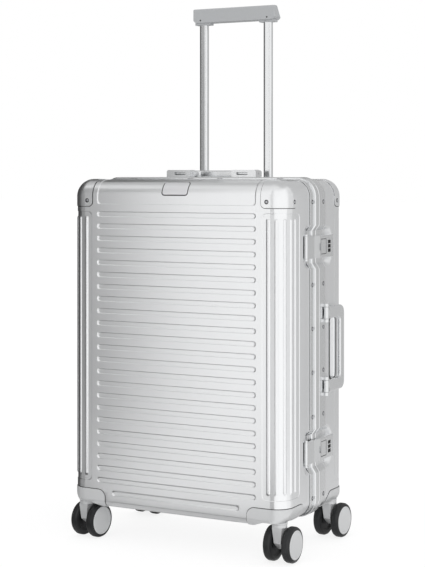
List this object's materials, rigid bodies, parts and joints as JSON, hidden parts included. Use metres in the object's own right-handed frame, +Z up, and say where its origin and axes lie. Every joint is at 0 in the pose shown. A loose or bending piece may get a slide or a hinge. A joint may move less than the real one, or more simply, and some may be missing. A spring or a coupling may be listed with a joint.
{
  "type": "hard shell suitcase on wheels",
  "caption": "Upright grooved aluminium suitcase with a riveted frame, side locks, fold-flat handles, a pull-out trolley and swivelling twin-wheel casters; opens like a book.",
  "frame": {"origin": "on the floor under the middle of the case, halfway between its front and rear panels", "axes": "+X the side with the locks and the side handle, -Y the front panel, +Z up"},
  "size_m": [0.4556, 0.2747, 0.97],
  "materials": {
    "aluminium_shell": "satin anodised, pressed sheet",
    "aluminium_frame": "satin anodised extrusion",
    "aluminium_tube": "satin anodised drawn tube",
    "lock_metal": "satin silver die casting",
    "handle_plastic": "satin silver moulding",
    "grip_plastic": "fine matte moulding",
    "housing_plastic": "fine matte moulding",
    "hub_plastic": "satin moulding",
    "dial_plastic": "matte black moulding",
    "tyre_rubber": "soft matte tread",
    "seal_rubber": "matte extruded seal",
    "steel": "turned, plated",
    "lining_fabric": "woven polyester lining"
  },
  "bodies": {
    "rear_case": {"rear_shell": "aluminium_shell", "rear_frame": "aluminium_frame", "rear_corner_caps": "aluminium_shell", "rear_wheel_housings": "housing_plastic", "rear_caster_studs": "steel", "trolley_outer_tubes": "aluminium_tube", "trolley_port": "grip_plastic", "trolley_foot": "grip_plastic", "handle_brackets": "lock_metal", "handle_pins": "steel", "rear_rivets": "steel", "lock_body_upper": "lock_metal", "lock_body_lower": "lock_metal", "rear_hinge_leaves": "steel", "rear_lining": "lining_fabric"},
    "front_case": {"front_shell": "aluminium_shell", "front_frame": "aluminium_frame", "frame_seal": "seal_rubber", "front_corner_caps": "aluminium_shell", "front_wheel_housings": "housing_plastic", "front_caster_studs": "steel", "badge_plate": "aluminium_shell", "front_rivets": "steel", "hasp_bases": "lock_metal", "hasp_pins": "steel", "front_hinge_leaves": "steel", "hinge_pins": "steel", "front_lining": "lining_fabric"},
    "trolley": {"trolley_inner_tubes": "aluminium_tube", "trolley_grip": "grip_plastic"},
    "trolley_button": {"trolley_release_button": "grip_plastic", "trolley_push_rod": "aluminium_tube"},
    "top_carry_handle": {"top_handle": "handle_plastic"},
    "side_carry_handle": {"side_handle": "handle_plastic"},
    "upper_hasp": {"hasp_upper": "lock_metal"},
    "upper_lock_button": {"lock_button_upper": "lock_metal"},
    "upper_dial_1": {"dial_upper_1": "dial_plastic"},
    "upper_dial_2": {"dial_upper_2": "dial_plastic"},
    "upper_dial_3": {"dial_upper_3": "dial_plastic"},
    "lower_hasp": {"hasp_lower": "lock_metal"},
    "lower_lock_button": {"lock_button_lower": "lock_metal"},
    "lower_dial_1": {"dial_lower_1": "dial_plastic"},
    "lower_dial_2": {"dial_lower_2": "dial_plastic"},
    "lower_dial_3": {"dial_lower_3": "dial_plastic"},
    "front_left_swivel": {"front_left_fork": "housing_plastic"},
    "front_left_wheels": {"front_left_axle": "steel", "front_left_tyres": "tyre_rubber", "front_left_hubs": "hub_plastic"},
    "front_right_swivel": {"front_right_fork": "housing_plastic"},
    "front_right_wheels": {"front_right_axle": "steel", "front_right_tyres": "tyre_rubber", "front_right_hubs": "hub_plastic"},
    "rear_left_swivel": {"rear_left_fork": "housing_plastic"},
    "rear_left_wheels": {"rear_left_axle": "steel", "rear_left_tyres": "tyre_rubber", "rear_left_hubs": "hub_plastic"},
    "rear_right_swivel": {"rear_right_fork": "housing_plastic"},
    "rear_right_wheels": {"rear_right_axle": "steel", "rear_right_tyres": "tyre_rubber", "rear_right_hubs": "hub_plastic"}
  },
  "joints": [
    {"name": "lid_hinge", "type": "hinge", "parent": "rear_case", "child": "front_case", "pos_m": [-0.225, 0.003, 0.35525], "axis": [0, 0, -1], "range_deg": [0, 180]},
    {"name": "trolley_slide", "type": "slide", "parent": "rear_case", "child": "trolley", "axis": [0, 0, 1], "range_m": [-0.309, 0]},
    {"name": "trolley_button_press", "type": "slide", "parent": "trolley", "child": "trolley_button", "axis": [0, 0, -1], "range_m": [0, 0.004], "stiffness_N_per_m": 600, "springref_m": -0.004},
    {"name": "top_handle_hinge", "type": "hinge", "parent": "rear_case", "child": "top_carry_handle", "pos_m": [0, 0.02, 0.6584], "axis": [1, 0, 0], "range_deg": [0, 90]},
    {"name": "side_handle_hinge", "type": "hinge", "parent": "rear_case", "child": "side_carry_handle", "pos_m": [0.2222, 0.027, 0.349], "axis": [0, 0, -1], "range_deg": [0, 90]},
    {"name": "upper_hasp_hinge", "type": "hinge", "parent": "front_case", "child": "upper_hasp", "pos_m": [0.2148, -0.0426, 0.5305], "axis": [0, 0, -1], "range_deg": [0, 100]},
    {"name": "upper_lock_button_press", "type": "slide", "parent": "rear_case", "child": "upper_lock_button", "axis": [-1, 0, 0], "range_m": [0, 0.0018], "stiffness_N_per_m": 500, "springref_m": -0.002},
    {"name": "upper_dial_1_turn", "type": "hinge", "parent": "rear_case", "child": "upper_dial_1", "pos_m": [0.2132, 0.046, 0.5382], "axis": [0, 0, 1], "continuous": true},
    {"name": "upper_dial_2_turn", "type": "hinge", "parent": "rear_case", "child": "upper_dial_2", "pos_m": [0.2132, 0.046, 0.5305], "axis": [0, 0, 1], "continuous": true},
    {"name": "upper_dial_3_turn", "type": "hinge", "parent": "rear_case", "child": "upper_dial_3", "pos_m": [0.2132, 0.046, 0.5228], "axis": [0, 0, 1], "continuous": true},
    {"name": "lower_hasp_hinge", "type": "hinge", "parent": "front_case", "child": "lower_hasp", "pos_m": [0.2148, -0.0426, 0.176], "axis": [0, 0, -1], "range_deg": [0, 100]},
    {"name": "lower_lock_button_press", "type": "slide", "parent": "rear_case", "child": "lower_lock_button", "axis": [-1, 0, 0], "range_m": [0, 0.0018], "stiffness_N_per_m": 500, "springref_m": -0.002},
    {"name": "lower_dial_1_turn", "type": "hinge", "parent": "rear_case", "child": "lower_dial_1", "pos_m": [0.2132, 0.046, 0.1837], "axis": [0, 0, 1], "continuous": true},
    {"name": "lower_dial_2_turn", "type": "hinge", "parent": "rear_case", "child": "lower_dial_2", "pos_m": [0.2132, 0.046, 0.176], "axis": [0, 0, 1], "continuous": true},
    {"name": "lower_dial_3_turn", "type": "hinge", "parent": "rear_case", "child": "lower_dial_3", "pos_m": [0.2132, 0.046, 0.1683], "axis": [0, 0, 1], "continuous": true},
    {"name": "front_left_swivel_turn", "type": "hinge", "parent": "front_case", "child": "front_left_swivel", "pos_m": [-0.1936, -0.1034, 0.055], "axis": [0, 0, 1], "continuous": true},
    {"name": "front_left_wheel_roll", "type": "hinge", "parent": "front_left_swivel", "child": "front_left_wheels", "pos_m": [-0.19216, -0.09078, 0.0305], "axis": [0.9936, -0.1132, 0], "continuous": true},
    {"name": "front_right_swivel_turn", "type": "hinge", "parent": "front_case", "child": "front_right_swivel", "pos_m": [0.1936, -0.1034, 0.055], "axis": [0, 0, 1], "continuous": true},
    {"name": "front_right_wheel_roll", "type": "hinge", "parent": "front_right_swivel", "child": "front_right_wheels", "pos_m": [0.19382, -0.0907, 0.0305], "axis": [0.9998, -0.0175, 0], "continuous": true},
    {"name": "rear_left_swivel_turn", "type": "hinge", "parent": "rear_case", "child": "rear_left_swivel", "pos_m": [-0.1936, 0.1034, 0.055], "axis": [0, 0, 1], "continuous": true},
    {"name": "rear_left_wheel_roll", "type": "hinge", "parent": "rear_left_swivel", "child": "rear_left_wheels", "pos_m": [-0.19249, 0.11605, 0.0305], "axis": [0.9962, -0.0872, 0], "continuous": true},
    {"name": "rear_right_swivel_turn", "type": "hinge", "parent": "rear_case", "child": "rear_right_swivel", "pos_m": [0.1936, 0.1034, 0.055], "axis": [0, 0, 1], "continuous": true},
    {"name": "rear_right_wheel_roll", "type": "hinge", "parent": "rear_right_swivel", "child": "rear_right_wheels", "pos_m": [0.19449, 0.11607, 0.0305], "axis": [0.9976, -0.0698, 0], "continuous": true}
  ]
}
